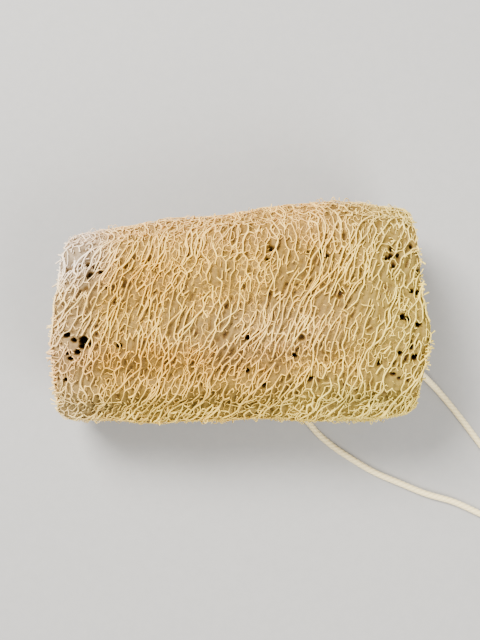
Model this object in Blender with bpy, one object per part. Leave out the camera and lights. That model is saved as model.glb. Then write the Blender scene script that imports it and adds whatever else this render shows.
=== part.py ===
"""Natural loofah sponge, cut across at both ends and lying on its side, with a cotton cord through it.

Metres. +X runs along the sponge, +Z is up, and the origin is on the surface under the sponge's middle.
The sponge is one grown piece: a raised net over lengthwise ribs, with three seed chambers right through.
The cord goes in at the +X end, along one chamber and out through the wall, and lies in a loop beside it.
"""

import math
import random

import bmesh
import bpy
from mathutils import Vector
from mathutils.geometry import delaunay_2d_cdt

MM = 0.001

# The sponge along X: place, half width, half height, and how far the section's middle lies off the X axis
STATIONS = (
    (-92 * MM, 31.0 * MM, 25.0 * MM, -6.9 * MM),
    (-72 * MM, 37.2 * MM, 28.8 * MM, -6.3 * MM),
    (-36 * MM, 41.2 * MM, 31.2 * MM, -4.0 * MM),
    (0 * MM, 42.9 * MM, 32.4 * MM, -1.7 * MM),
    (38 * MM, 45.4 * MM, 33.6 * MM, 0.1 * MM),
    (64 * MM, 43.6 * MM, 33.0 * MM, -0.3 * MM),
    (92 * MM, 36.0 * MM, 29.0 * MM, -1.1 * MM),
)
SECTION_POWER = 2.35
SINK = 0.75 * MM
LEFT_CUT = -73.6 * MM
LEFT_CUT_SLANT = 0.045
RIGHT_CUT = 75.0 * MM
RIGHT_CUT_SLANT = -0.012

# Lengthwise ribs of the fruit
RIBS = 12
RIB_HEIGHT = 0.9 * MM
RIB_PHASE = math.radians(-108)
RIB_SWAY = 0.35
RIB_SWAY_LENGTH = 31 * MM

# Raised net: one cell per point, stretched round the sponge and slanted off square
CELLS = 500
CELL_ASPECT = 2.2
NET_SLANT = math.radians(20)
NET_HALF_SPAN = 90 * MM
NET_FRAYED = 5 * MM
NET_DEPTH = (1.5 * MM, 2.5 * MM)
RIDGE_WAVE = 0.35 * MM
RIDGE_WAVE_LENGTHS = (5.3 * MM, 9.1 * MM)
FLOOR_SHARE = 0.62
PICKS = 10
NET_SEED = 7
WELD = 0.002 * MM
NEAR_ENOUGH = 1e-7

# Cut ends: the same net seen in section, as shallow pits with ridges between them
END_CELLS = 110
END_DEPTH = (1.2 * MM, 2.6 * MM)
END_MARGIN = 0.93

# Worn flat spot that the sponge rests on
REST_HALF_LENGTH = 36 * MM
REST_HALF_WIDTH = 11 * MM
REST_FADE = 7 * MM
REST_REACH_UP = 12 * MM

# Seed chambers, as shares of the section's half width and half height: heading from the core, distance,
# reach along the heading, reach across it
CHAMBERS = (
    ("near", math.pi, 0.46, 0.30, 0.42),
    ("upper", math.radians(52), 0.50, 0.26, 0.42),
    ("lower", math.radians(-52), 0.50, 0.26, 0.42),
)
CHAMBER_FLARE = 0.22
CHAMBER_SIDES = 16
CHAMBER_RINGS = 25
CHAMBER_RUFFLE = 0.035
CHAMBER_TAPER = 0.4
CHAMBER_HALF_SPAN = 84 * MM

# Cotton cord: its held stretch runs from the wall to the knot, its free stretch is the loop outside
CORD_RADIUS = 1.375 * MM
CORD_STEP = 2.0 * 2 * CORD_RADIUS
CORD_WAY_RADIUS = 2.5 * MM
CORD_WAY_SIDES = 10
CORD_WAY_OVERRUN = 6 * MM
ROUTE_SPLITS = 24
HELD_ROUTE = (
    (56.0, -23.6, 21.2),
    (46.0, -23.6, 20.7),
    (38.0, -24.2, 20.6),
    (32.2, -26.0, 20.2),
    (28.4, -29.2, 18.7),
    (26.5, -32.8, 16.5),
    (26.0, -36.0, 14.0),
    (26.0, -39.1, 11.5),
)
LOOP_ROUTE = (
    (26.0, -39.5, 11.18),
    (26.0, -41.2, 9.7),
    (26.6, -43.7, 6.2),
    (28.9, -46.6, 2.7),
    (31.8, -50.2, 1.5),
    (36.2, -55.3, 1.45),
    (43.2, -61.2, 1.45),
    (52.3, -67.2, 1.45),
    (61.6, -72.6, 1.45),
    (72.8, -77.4, 1.45),
    (85.2, -82.4, 1.45),
    (97.8, -86.1, 1.45),
    (109.4, -91.3, 1.45),
    (117.0, -94.8, 1.45),
    (122.9, -95.9, 1.45),
    (127.4, -93.4, 1.45),
    (129.2, -88.6, 1.45),
    (127.2, -82.6, 1.45),
    (119.0, -71.6, 1.45),
    (109.6, -59.4, 1.45),
    (102.4, -49.8, 1.45),
    (95.4, -41.0, 1.6),
    (90.4, -35.3, 2.7),
    (86.4, -31.5, 5.9),
    (83.2, -28.9, 11.0),
    (80.1, -26.7, 16.3),
    (76.2, -25.0, 20.1),
    (71.4, -24.0, 21.4),
    (66.1, -23.8, 21.6),
)
KNOT_MIDDLE = (61.1, -23.8, 22.7)
KNOT_RADII = (4.7, 4.1, 3.9)
KNOT_LOBES = 3
KNOT_LOBE_DEPTH = 0.12
KNOT_LOBE_WIND = 2.2


def clear_scene():
    for obj in list(bpy.data.objects):
        bpy.data.objects.remove(obj, do_unlink=True)


def finish(name, rgb, roughness):
    """Dry, dull plant fibre or cotton: no metal in it, and rough."""
    mat = bpy.data.materials.new(name)
    mat.use_nodes = True
    shader = mat.node_tree.nodes["Principled BSDF"]
    shader.inputs["Base Color"].default_value = (*rgb, 1.0)
    shader.inputs["Roughness"].default_value = roughness
    shader.inputs["Metallic"].default_value = 0.0
    return mat


def place(name, data, mat=None, cutter=False):
    obj = bpy.data.objects.new(name, data)
    bpy.context.scene.collection.objects.link(obj)
    if mat:
        data.materials.append(mat)
    if cutter:
        obj.hide_render = True
        obj.display_type = "WIRE"
    return obj


def through(a, b, c, d, f):
    """Catmull-Rom value at fraction f of the way from b to c."""
    bend = 2 * a - 5 * b + 4 * c - d
    twist = 3 * b - a - 3 * c + d
    return 0.5 * (2 * b + (c - a) * f + bend * f**2 + twist * f**3)


def station(x):
    """Half width, half height and sideways shift of the section at x."""
    last = len(STATIONS) - 1
    i = max(j for j in range(last) if STATIONS[j][0] <= max(x, STATIONS[0][0]))
    f = (x - STATIONS[i][0]) / (STATIONS[i + 1][0] - STATIONS[i][0])
    row = [STATIONS[min(max(j, 0), last)] for j in range(i - 1, i + 3)]
    return [through(*(r[k] for r in row), f) for k in (1, 2, 3)]


def signed_power(value, power):
    return math.copysign(abs(value) ** power, value)


def on_section(x, turn, lift):
    """Point at angle turn round the section at x, lifted off the plain oval along its normal."""
    wide, high, shift = station(x)
    c, s = math.cos(turn), math.sin(turn)
    y = wide * signed_power(c, 2 / SECTION_POWER)
    z = high * signed_power(s, 2 / SECTION_POWER)
    slope = 2 - 2 / SECTION_POWER
    normal = Vector((0, signed_power(c, slope) / wide, signed_power(s, slope) / high)).normalized()
    return Vector((x, shift + y, high - SINK + z)) + lift * normal


def girth_turns(steps=720):
    """Cumulative girth of the middle section against the angle round it."""
    points = [on_section(0, 2 * math.pi * i / steps, 0) for i in range(steps + 1)]
    lengths = [0.0]
    for a, b in zip(points, points[1:]):
        lengths.append(lengths[-1] + (b - a).length)
    return lengths


GIRTHS = girth_turns()
GIRTH = GIRTHS[-1]


def turn_at(way):
    """Angle round the section after a length of girth."""
    way %= GIRTH
    low, high = 0, len(GIRTHS) - 1
    while high - low > 1:
        middle = (low + high) // 2
        if GIRTHS[middle] <= way:
            low = middle
        else:
            high = middle
    f = (way - GIRTHS[low]) / (GIRTHS[high] - GIRTHS[low])
    return 2 * math.pi * (low + f) / (len(GIRTHS) - 1)


def smooth_step(value):
    value = min(max(value, 0.0), 1.0)
    return value * value * (3 - 2 * value)


def rest_share(point):
    """1 on the worn flat spot under the sponge, 0 away from it."""
    if point.z > REST_REACH_UP:
        return 0.0
    along = smooth_step((REST_HALF_LENGTH + REST_FADE - abs(point.x)) / REST_FADE)
    across = smooth_step((REST_HALF_WIDTH + REST_FADE - abs(point.y)) / REST_FADE)
    return along * across


def skin_point(x, way, depth):
    """Point of the netted skin: ribs and a slow wave of the ridges, less the depth of the net there."""
    turn = turn_at(way)
    rest = rest_share(on_section(x, turn, 0))
    sway = RIB_SWAY * math.sin(x / RIB_SWAY_LENGTH)
    rib = RIB_HEIGHT * math.cos(RIBS * turn + RIB_PHASE + sway)
    short, long = RIDGE_WAVE_LENGTHS
    wave = RIDGE_WAVE * (math.sin(x / short + 3 * turn) + math.sin(x / long - 5 * turn))
    point = on_section(x, turn, (rib + wave - depth) * (1 - rest))
    point.z = max(point.z, 0.0)
    return point


def stretched(x, way):
    """Skin place in the net's own stretched and slanted plane, where its cells are about round."""
    c, s = math.cos(NET_SLANT), math.sin(NET_SLANT)
    return Vector((x * c + way * s, (way * c - x * s) / CELL_ASPECT))


def spread_out(draw, count, pick, wraps=(Vector((0, 0)),)):
    """Evenly scattered places: each is the one of a few picks that lies furthest from those before it."""
    chosen = []
    for _ in range(count):
        best = None
        for _ in range(PICKS):
            spot, flat = pick(draw)
            apart = ((flat - other + wrap).length for _, other in chosen for wrap in wraps)
            near = min(apart, default=1.0)
            if best is None or near > best[0]:
                best = (near, spot, flat)
        chosen.append(best[1:])
    return [spot for spot, _ in chosen]


def pick_on_skin(draw):
    spot = (draw.uniform(-NET_HALF_SPAN, NET_HALF_SPAN), draw.uniform(0, GIRTH))
    return spot, stretched(*spot)


def net_cells(draw):
    """Each cell's middle and its ring of corners, as places along and round the skin."""
    round_trip = stretched(0, GIRTH)
    middles = spread_out(draw, CELLS, pick_on_skin, [turns * round_trip for turns in (-1, 0, 1)])
    spread = [(x, way + turns * GIRTH) for turns in (0, -1, 1) for x, way in middles]
    flat = [stretched(*p) for p in spread]
    _, _, triangles, origins, _, _ = delaunay_2d_cdt(flat, [], [], 0, NEAR_ENOUGH)
    rings = {i: [] for i in range(len(middles))}
    for triangle in triangles:
        corners = [origins[v][0] for v in triangle]
        centre = tuple(sum(spread[v][k] for v in corners) / 3 for k in (0, 1))
        for v in corners:
            if v in rings:
                rings[v].append(centre)
    cells = []
    for i, ring in rings.items():
        middle = spread[i]
        if abs(middle[0]) > NET_HALF_SPAN - NET_FRAYED:
            continue
        at = stretched(*middle)

        def bearing(corner):
            away = stretched(*corner) - at
            return math.atan2(away.y, away.x)

        cells.append((middle, sorted(ring, key=bearing)))
    return cells


def netted_skin():
    """The skin as raised ridges round sunken cells, sewn into one sleeve that is open at both ends."""
    draw = random.Random(NET_SEED)
    skin = bmesh.new()
    for middle, ring in net_cells(draw):
        depth = draw.uniform(*NET_DEPTH)
        inner = [tuple(m + FLOOR_SHARE * (c - m) for m, c in zip(middle, corner)) for corner in ring]
        crest = [skin.verts.new(skin_point(*corner, 0)) for corner in ring]
        sunk = [skin.verts.new(skin_point(*corner, depth)) for corner in inner]
        for i in range(len(ring)):
            j = (i + 1) % len(ring)
            skin.faces.new((crest[i], crest[j], sunk[j]))
            skin.faces.new((crest[i], sunk[j], sunk[i]))
        floor = skin.faces.new(sunk)
        bmesh.ops.triangulate(skin, faces=[floor])
    bmesh.ops.remove_doubles(skin, verts=skin.verts, dist=WELD)
    return skin


def end_pits(at):
    """Middles of the pits in a cut end, and the ridge corners between them, as (y, z) places."""
    wide, high, shift = station(at)

    def reach(spot):
        across = abs((spot.x - shift) / wide) ** SECTION_POWER
        up = abs((spot.y - high + SINK) / high) ** SECTION_POWER
        return (across + up) ** (1 / SECTION_POWER)

    def pick(draw):
        spot = None
        while spot is None or reach(spot) > END_MARGIN:
            spot = Vector((shift + draw.uniform(-wide, wide), draw.uniform(0, 2 * high)))
        return spot, spot

    pits = spread_out(random.Random(NET_SEED), END_CELLS, pick)
    triangles = delaunay_2d_cdt(pits, [], [], 0, NEAR_ENOUGH)[2]
    corners = [sum((pits[v] for v in triangle), Vector((0, 0))) / 3 for triangle in triangles]
    return pits, [spot for spot in corners if reach(spot) < END_MARGIN]


def cut_end(skin, at, slant, side):
    """Cuts the sleeve across at one end and closes it with the cut net: pits with ridges between them."""
    cut = bmesh.ops.bisect_plane(
        skin,
        geom=skin.verts[:] + skin.edges[:] + skin.faces[:],
        plane_co=Vector((at, 0, 0)),
        plane_no=Vector((side, -side * slant, 0)).normalized(),
        dist=WELD,
        clear_outer=True,
    )
    edges = [e for e in cut["geom_cut"] if isinstance(e, bmesh.types.BMEdge)]
    rim = list({v for e in edges for v in e.verts})
    rim.sort(key=lambda v: tuple(v.co))
    pits, corners = end_pits(at)
    links = [tuple(rim.index(v) for v in e.verts) for e in edges]
    places = [v.co.yz for v in rim] + pits + corners
    flat, _, triangles, origins, _, _ = delaunay_2d_cdt(places, links, [], 1, NEAR_ENOUGH)
    draw = random.Random(NET_SEED)
    made = []
    for spot, origin in zip(flat, origins):
        if origin[0] < len(rim):
            made.append(rim[origin[0]])
            continue
        depth = draw.uniform(*END_DEPTH) if origin[0] < len(rim) + len(pits) else 0.0
        made.append(skin.verts.new((at + slant * spot.x - side * depth, *spot)))
    for triangle in triangles:
        skin.faces.new([made[v] for v in triangle])


def close_tube(tube, rings):
    """Faces between one ring of corners and the next, and over both ends."""
    for a, b in zip(rings, rings[1:]):
        for i in range(len(a)):
            j = (i + 1) % len(a)
            tube.faces.new((a[i], a[j], b[j], b[i]))
    tube.faces.new(reversed(rings[0]))
    tube.faces.new(rings[-1])


def seed_chamber(name, heading, distance, along, across):
    """Cutter for a seed chamber: a ruffled tube, wider away from the core, with less taper than the fruit."""
    tube = bmesh.new()
    middle = station(0)
    rings = []
    for k in range(CHAMBER_RINGS):
        x = CHAMBER_HALF_SPAN * (2 * k / (CHAMBER_RINGS - 1) - 1)
        wide, high, shift = [m + CHAMBER_TAPER * (here - m) for m, here in zip(middle, station(x))]
        ruffle = 1 + CHAMBER_RUFFLE * (-1) ** k
        ring = []
        for i in range(CHAMBER_SIDES):
            turn = 2 * math.pi * i / CHAMBER_SIDES
            out = distance + along * ruffle * math.cos(turn)
            side = across * ruffle * math.sin(turn) * (1 + CHAMBER_FLARE * math.cos(turn))
            y = out * math.cos(heading) - side * math.sin(heading)
            z = out * math.sin(heading) + side * math.cos(heading)
            ring.append(tube.verts.new((x, shift + wide * y, high - SINK + high * z)))
        rings.append(ring)
    close_tube(tube, rings)
    return mesh_of(tube, "chamber_" + name)


def mesh_of(made, name):
    bmesh.ops.recalc_face_normals(made, faces=made.faces)
    mesh = bpy.data.meshes.new(name)
    made.to_mesh(mesh)
    made.free()
    return mesh


def smooth_route(route, step):
    """Points about a step apart on one smooth curve through a route's points, ends included."""
    knots = [Vector(p) * MM for p in route]
    knots = [2 * knots[0] - knots[1], *knots, 2 * knots[-1] - knots[-2]]
    fine = []
    for i in range(1, len(knots) - 2):
        fine += [through(*knots[i - 1 : i + 3], f / ROUTE_SPLITS) for f in range(ROUTE_SPLITS)]
    fine.append(knots[-2])
    ways = [0.0]
    for a, b in zip(fine, fine[1:]):
        ways.append(ways[-1] + (b - a).length)
    count = max(2, round(ways[-1] / step))
    points = []
    k = 0
    for n in range(count + 1):
        way = ways[-1] * n / count
        while k < len(ways) - 2 and ways[k + 1] < way:
            k += 1
        points.append(fine[k].lerp(fine[k + 1], (way - ways[k]) / (ways[k + 1] - ways[k])))
    return points


def cord_way():
    """Cutter for the way that the cord pushes open through the wall, out of the near chamber."""
    route = smooth_route(HELD_ROUTE[3:], CORD_STEP / 2)
    route.append(route[-1] + CORD_WAY_OVERRUN * (route[-1] - route[-2]).normalized())
    tube = bmesh.new()
    rings = []
    for i, point in enumerate(route):
        ahead = (route[min(i + 1, len(route) - 1)] - route[max(i - 1, 0)]).normalized()
        side = ahead.cross(Vector((1, 0, 0))).normalized()
        up = ahead.cross(side)
        ring = []
        for k in range(CORD_WAY_SIDES):
            turn = 2 * math.pi * k / CORD_WAY_SIDES
            out = math.cos(turn) * side + math.sin(turn) * up
            ring.append(tube.verts.new(point + CORD_WAY_RADIUS * out))
        rings.append(ring)
    close_tube(tube, rings)
    return mesh_of(tube, "cord_way")


def sponge():
    """Netted skin with flat cut ends, less the seed chambers and the cord's way."""
    skin = netted_skin()
    cut_end(skin, LEFT_CUT, LEFT_CUT_SLANT, -1)
    cut_end(skin, RIGHT_CUT, RIGHT_CUT_SLANT, 1)
    body = place("sponge", mesh_of(skin, "sponge"), finish("dried_loofah", (0.66, 0.47, 0.24), 0.85))
    cutters = [place("chamber_" + c[0], seed_chamber(*c), cutter=True) for c in CHAMBERS]
    cutters.append(place("cord_way", cord_way(), cutter=True))
    for cutter in cutters:
        cut = body.modifiers.new(cutter.name, "BOOLEAN")
        cut.operation = "DIFFERENCE"
        cut.object = cutter
        cut.solver = "EXACT"
    return body


def cord(name, route, mat):
    """A stretch of the cord: a plain round tube with closed ends, along its route."""
    points = smooth_route(route, CORD_STEP)
    curve = bpy.data.curves.new(name, "CURVE")
    curve.dimensions = "3D"
    curve.bevel_depth = CORD_RADIUS
    curve.bevel_resolution = 2
    curve.use_fill_caps = True
    spline = curve.splines.new("POLY")
    spline.points.add(len(points) - 1)
    for spot, point in zip(spline.points, points):
        spot.co = (*point, 1.0)
    return place(name, curve, mat)


def knot(mat):
    """The knot that ties the cord's two ends: a rounded lump with three wound lobes."""
    lump = bmesh.new()
    bmesh.ops.create_uvsphere(lump, u_segments=18, v_segments=10, radius=1)
    for v in lump.verts:
        turn = math.atan2(v.co.z, v.co.y)
        wound = math.cos(KNOT_LOBES * turn + KNOT_LOBE_WIND * v.co.x)
        lobe = 1 + KNOT_LOBE_DEPTH * wound * (1 - v.co.x**2)
        away = Vector([r * lobe * c for r, c in zip(KNOT_RADII, v.co)])
        v.co = (Vector(KNOT_MIDDLE) + away) * MM
    mesh = mesh_of(lump, "knot")
    mesh.shade_smooth()
    return place("cord_knot", mesh, mat)


clear_scene()
sponge()
cotton = finish("cream_cotton", (0.60, 0.54, 0.44), 0.9)
cord("cord_held", HELD_ROUTE, cotton)
cord("cord_loop", LOOP_ROUTE, cotton)
knot(cotton)
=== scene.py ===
import math

import bpy
import numpy as np
from mathutils.geometry import delaunay_2d_cdt
from mathutils.kdtree import KDTree
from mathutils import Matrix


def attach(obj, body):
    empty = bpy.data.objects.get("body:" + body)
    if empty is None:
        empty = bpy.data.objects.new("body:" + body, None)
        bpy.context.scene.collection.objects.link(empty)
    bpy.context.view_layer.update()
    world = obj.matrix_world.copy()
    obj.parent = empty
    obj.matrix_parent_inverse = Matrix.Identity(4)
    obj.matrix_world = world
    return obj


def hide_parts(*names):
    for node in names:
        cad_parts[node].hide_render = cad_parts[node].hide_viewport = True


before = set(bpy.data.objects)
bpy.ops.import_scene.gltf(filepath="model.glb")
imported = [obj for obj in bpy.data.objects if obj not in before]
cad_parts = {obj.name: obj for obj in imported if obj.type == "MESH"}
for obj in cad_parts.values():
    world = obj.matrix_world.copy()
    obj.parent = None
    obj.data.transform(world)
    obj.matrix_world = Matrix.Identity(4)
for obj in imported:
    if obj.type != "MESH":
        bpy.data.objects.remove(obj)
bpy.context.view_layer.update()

# The camera. It hangs straight over the sponge, 470 mm above the surface, with +Y at the top of the
# picture. The sponge's top then shows at 2.5 pixels a millimetre and the surface at 2.2.
# Every size in this file is in millimetres, apart from those of the camera and the lamps.
MM = 0.001
camera_height = 0.470
camera_middle = (0.0004, -0.0032)
lens_view = bpy.data.cameras.new("lens_view")
lens_view.sensor_fit = "VERTICAL"
lens_view.sensor_height = 36
lens_view.lens = 57.8
camera = bpy.data.objects.new("camera", lens_view)
camera.location = (*camera_middle, camera_height)
bpy.context.scene.collection.objects.link(camera)
bpy.context.scene.camera = camera


# The surface under the sponge, and the light. A sheet of pale board, matt, which a wide softbox lights
# from the upper left, a weaker one from the lower right, and a pale room from all round.
def linear(code):
    """An sRGB hex colour as the linear values that a shader takes."""
    parts = [int(code[i : i + 2], 16) / 255 for i in (1, 3, 5)]
    return (*(p / 12.92 if p <= 0.04045 else ((p + 0.055) / 1.055) ** 2.4 for p in parts), 1.0)


def node(tree, kind, settings=None, inputs=None):
    """Adds a node to a material, with its settings and with a value or a link for each input given."""
    made = tree.nodes.new(kind)
    for name, value in (settings or {}).items():
        setattr(made, name, value)
    for name, value in (inputs or {}).items():
        if isinstance(value, bpy.types.NodeSocket):
            tree.links.new(value, made.inputs[name])
        else:
            made.inputs[name].default_value = value
    return made


def grown(name, material, *shells):
    """One smooth mesh of one or more shells, each given as points, lists of faces, and values by name."""
    mesh = bpy.data.meshes.new(name)
    points = np.concatenate([shell[0] for shell in shells])
    starts = np.cumsum([0] + [len(shell[0]) for shell in shells])
    faces = [some + start for shell, start in zip(shells, starts) for some in shell[1]]
    mesh.vertices.add(len(points))
    mesh.vertices.foreach_set("co", (points * MM).astype(np.float32).ravel())
    corners = np.concatenate([some.ravel() for some in faces]).astype(np.int32)
    sizes = np.concatenate([np.full(len(some), some.shape[1]) for some in faces])
    mesh.loops.add(len(corners))
    mesh.loops.foreach_set("vertex_index", corners)
    mesh.polygons.add(len(sizes))
    mesh.polygons.foreach_set("loop_start", (np.cumsum(sizes) - sizes).astype(np.int32))
    mesh.update(calc_edges=True)
    for word in shells[0][2]:
        layer = mesh.attributes.new(word, "FLOAT", "POINT")
        values = np.concatenate([shell[2][word].ravel() for shell in shells])
        layer.data.foreach_set("value", values.astype(np.float32))
    mesh.shade_smooth()
    mesh.materials.append(material)
    made = bpy.data.objects.new(name, mesh)
    bpy.context.scene.collection.objects.link(made)
    return made


# Pressed paper pulp, matt. Its clumps are about a millimetre across and leave it faintly mottled.
pulp_clump = 1.11
board_half = 1500
board_drop = 0.05
board = bpy.data.materials.new("pale_matt_board")
board.use_nodes = True
tree = board.node_tree
shader = tree.nodes["Principled BSDF"]
pulp = node(tree, "ShaderNodeTexNoise", None, {"Scale": 1 / (pulp_clump * MM), "Detail": 4.0})
tone = node(
    tree,
    "ShaderNodeMix",
    {"data_type": "RGBA"},
    {0: pulp.outputs["Fac"], 6: linear("#989794"), 7: linear("#A09E9B")},
)
tree.links.new(tone.outputs[2], shader.inputs["Base Color"])
shader.inputs["Roughness"].default_value = 0.9
board_corners = board_half * np.array([(-1, -1, 0), (1, -1, 0), (1, 1, 0), (-1, 1, 0)], float)
board_corners[:, 2] = -board_drop
floor = grown("floor", board, (board_corners, [np.array([[0, 1, 2, 3]])], {}))

warm_white = (1.0, 0.985, 0.96)
lamp_aim = (0.0, 0.0, 0.03)
for name, place, power, width in (
    ("softbox_left", (-0.42, 0.50, 0.85), 41.0, 0.42),
    ("softbox_right", (0.50, -0.55, 0.70), 17.0, 0.60),
):
    lamp = bpy.data.lights.new(name, "AREA")
    lamp.energy = power
    lamp.size = width
    lamp.color = warm_white
    made = bpy.data.objects.new(name, lamp)
    made.location = place
    aim = np.array(lamp_aim) - place
    made.rotation_euler = (math.acos(-aim[2] / np.linalg.norm(aim)), 0, math.atan2(-aim[0], aim[1]))
    bpy.context.scene.collection.objects.link(made)

room = bpy.data.worlds.new("pale_room")
room.use_nodes = True
room.node_tree.nodes["Background"].inputs["Color"].default_value = linear("#EDEFF2")
room.node_tree.nodes["Background"].inputs["Strength"].default_value = 0.75
bpy.context.scene.world = room

# The cotton cord. Undyed cotton, 2.75 mm thick, laid from three plies. It goes in at the right end, is
# knotted inside the near seed chamber and comes out through the wall. Its loop lies limp on the surface.
cord_radius = 1.375
cord_lay = 6.3
cord_plies = 3
cord_sides = 24
cord_step = 0.5
ply_off = 0.46
ply_round = 0.54
core_share = 0.66
ply_share = 0.38
end_pinch = 0.8
held_route = (
    (56.0, -23.6, 21.2),
    (46.0, -23.6, 20.7),
    (38.0, -24.2, 20.6),
    (32.2, -26.0, 20.2),
    (28.4, -29.2, 18.7),
    (26.5, -32.8, 16.5),
    (26.0, -36.0, 14.0),
    (26.0, -39.1, 11.5),
)
loop_route = (
    (26.0, -39.5, 11.18),
    (26.0, -41.2, 9.7),
    (26.6, -43.7, 6.2),
    (28.9, -46.6, 2.7),
    (31.8, -50.2, 1.5),
    (36.2, -55.3, 1.45),
    (43.2, -61.2, 1.45),
    (52.3, -67.2, 1.45),
    (61.6, -72.6, 1.45),
    (72.8, -77.4, 1.45),
    (85.2, -82.4, 1.45),
    (97.8, -86.1, 1.45),
    (109.4, -91.3, 1.45),
    (117.0, -94.8, 1.45),
    (122.9, -95.9, 1.45),
    (127.4, -93.4, 1.45),
    (129.2, -88.6, 1.45),
    (127.2, -82.6, 1.45),
    (119.0, -71.6, 1.45),
    (109.6, -59.4, 1.45),
    (102.4, -49.8, 1.45),
    (95.4, -41.0, 1.6),
    (90.4, -35.3, 2.7),
    (86.4, -31.5, 5.9),
    (83.2, -28.9, 11.0),
    (80.1, -26.7, 16.3),
    (76.2, -25.0, 20.1),
    (71.4, -24.0, 21.4),
    (66.1, -23.8, 21.6),
)
knot_middle = (61.1, -23.8, 22.7)
knot_radius = 1.05
knot_tails = (
    ((61.5, -23.0, 24.5), (58.5, -21.5, 26.0), (55.0, -21.0, 25.5), (52.5, -21.5, 24.5)),
    ((61.0, -25.0, 21.0), (58.0, -26.5, 21.5), (54.5, -27.0, 22.5), (52.0, -26.5, 23.0)),
)


def through(a, b, c, d, f):
    """Catmull-Rom value at fraction f of the way from b to c."""
    bend = 2 * a - 5 * b + 4 * c - d
    twist = 3 * b - a - 3 * c + d
    return 0.5 * (2 * b + (c - a) * f + bend * f**2 + twist * f**3)


def ways_along(line):
    """Length of a line up to each of its points."""
    return np.concatenate([[0], np.cumsum(np.linalg.norm(np.diff(line, axis=0), axis=1))])


def even_steps(line, step):
    """The same line in equal steps."""
    ways = ways_along(line)
    stops = np.linspace(0, ways[-1], max(3, round(ways[-1] / step)) + 1)
    return np.stack([np.interp(stops, ways, line[:, k]) for k in range(3)], axis=1)


def smooth_route(route, step):
    """Points a step apart on one smooth curve through a route's points, ends included."""
    knots = np.array(route)
    knots = np.vstack([2 * knots[0] - knots[1], knots, 2 * knots[-1] - knots[-2]])
    parts = np.linspace(0, 1, 24, endpoint=False)[:, None]
    fine = [through(*knots[i - 1 : i + 3], parts) for i in range(1, len(knots) - 2)]
    return even_steps(np.vstack([*fine, knots[-2:-1]]), step)


def unit(vectors):
    return vectors / np.maximum(np.linalg.norm(vectors, axis=-1, keepdims=True), 1e-12)


def plied(line, radius):
    """Shell of a cord along a line: its section is the outline of round plies, and turns with the lay."""
    ahead = unit(np.gradient(line, axis=0))
    side = [unit(np.cross(ahead[0], (0.3, 0.2, 1.0)))]
    for direction in ahead[1:]:
        side.append(unit(side[-1] - direction * np.dot(side[-1], direction)))
    side = np.array(side)
    up = np.cross(ahead, side)
    ways = ways_along(line)
    turn = 2 * math.pi * np.arange(cord_sides) / cord_sides
    lay = turn[None, :] + 2 * math.pi * ways[:, None] / cord_lay
    off_ply = ((lay * cord_plies / (2 * math.pi) + 0.5) % 1 - 0.5) * 2 * math.pi / cord_plies
    outline = ply_off * np.cos(off_ply) + np.sqrt(ply_round**2 - (ply_off * np.sin(off_ply)) ** 2)
    reach = radius * (core_share + ply_share * outline)
    reach[[0, -1]] *= end_pinch
    ring = np.cos(turn)[None, :, None] * side[:, None] + np.sin(turn)[None, :, None] * up[:, None]
    points = line[:, None] + reach[..., None] * ring
    rows = np.arange(len(line) * cord_sides).reshape(len(line), cord_sides)
    after = np.roll(rows, -1, axis=1)
    quads = np.stack([rows[:-1], after[:-1], after[1:], rows[1:]], axis=-1).reshape(-1, 4)
    caps = np.stack([rows[0][::-1], rows[-1]])
    groove = (outline.max() - outline) / (outline.max() - outline.min())
    values = {"along": np.repeat(ways, cord_sides), "around": np.tile(turn, len(line)), "groove": groove}
    return points.reshape(-1, 3), [quads, caps], values


# Spun cotton is matt and a little fuzzy. Its fibres are 0.02 mm thick, and are drawn 0.2 mm thick here, so
# that they show as fine slanting streaks in each ply, with painted shade darkening the grooves between plies.
yarn_slant = -0.9
yarn_crowding = (5.5, 0.9, 1.0)
groove_shade = 0.55
yarn_height = 0.12
cotton = bpy.data.materials.new("undyed_cotton")
cotton.use_nodes = True
tree = cotton.node_tree
shader = tree.nodes["Principled BSDF"]
along = node(tree, "ShaderNodeAttribute", {"attribute_name": "along"})
around = node(tree, "ShaderNodeAttribute", {"attribute_name": "around"})
groove = node(tree, "ShaderNodeAttribute", {"attribute_name": "groove"})
twist = node(
    tree,
    "ShaderNodeMath",
    {"operation": "MULTIPLY_ADD"},
    {0: along.outputs["Fac"], 1: yarn_slant, 2: around.outputs["Fac"]},
)
yarn_place = node(tree, "ShaderNodeCombineXYZ", None, {"X": twist.outputs[0], "Y": along.outputs["Fac"]})
yarn_scale = node(
    tree,
    "ShaderNodeMapping",
    None,
    {"Vector": yarn_place.outputs[0], "Scale": yarn_crowding},
)
yarn = node(tree, "ShaderNodeTexNoise", None, {"Vector": yarn_scale.outputs[0], "Scale": 1.0, "Detail": 3.0})
cream = node(
    tree,
    "ShaderNodeMix",
    {"data_type": "RGBA"},
    {0: yarn.outputs["Fac"], 6: linear("#E6D29A"), 7: linear("#FDEAB4")},
)
# Painted shade: the colour darkens towards #94804E in the grooves between the plies.
shade = node(tree, "ShaderNodeMath", {"operation": "POWER"}, {0: groove.outputs["Fac"], 1: 2.0})
deep = node(tree, "ShaderNodeMath", {"operation": "MULTIPLY"}, {0: shade.outputs[0], 1: groove_shade})
groove_painted_shade = node(
    tree,
    "ShaderNodeMix",
    {"data_type": "RGBA"},
    {0: deep.outputs[0], 6: cream.outputs[2], 7: linear("#94804E")},
)
raised = node(
    tree,
    "ShaderNodeBump",
    None,
    {"Strength": 0.5, "Distance": yarn_height * MM, "Height": yarn.outputs["Fac"]},
)
tree.links.new(groove_painted_shade.outputs[2], shader.inputs["Base Color"])
tree.links.new(raised.outputs[0], shader.inputs["Normal"])
shader.inputs["Roughness"].default_value = 0.85
shader.inputs["Sheen Weight"].default_value = 0.25

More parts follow.
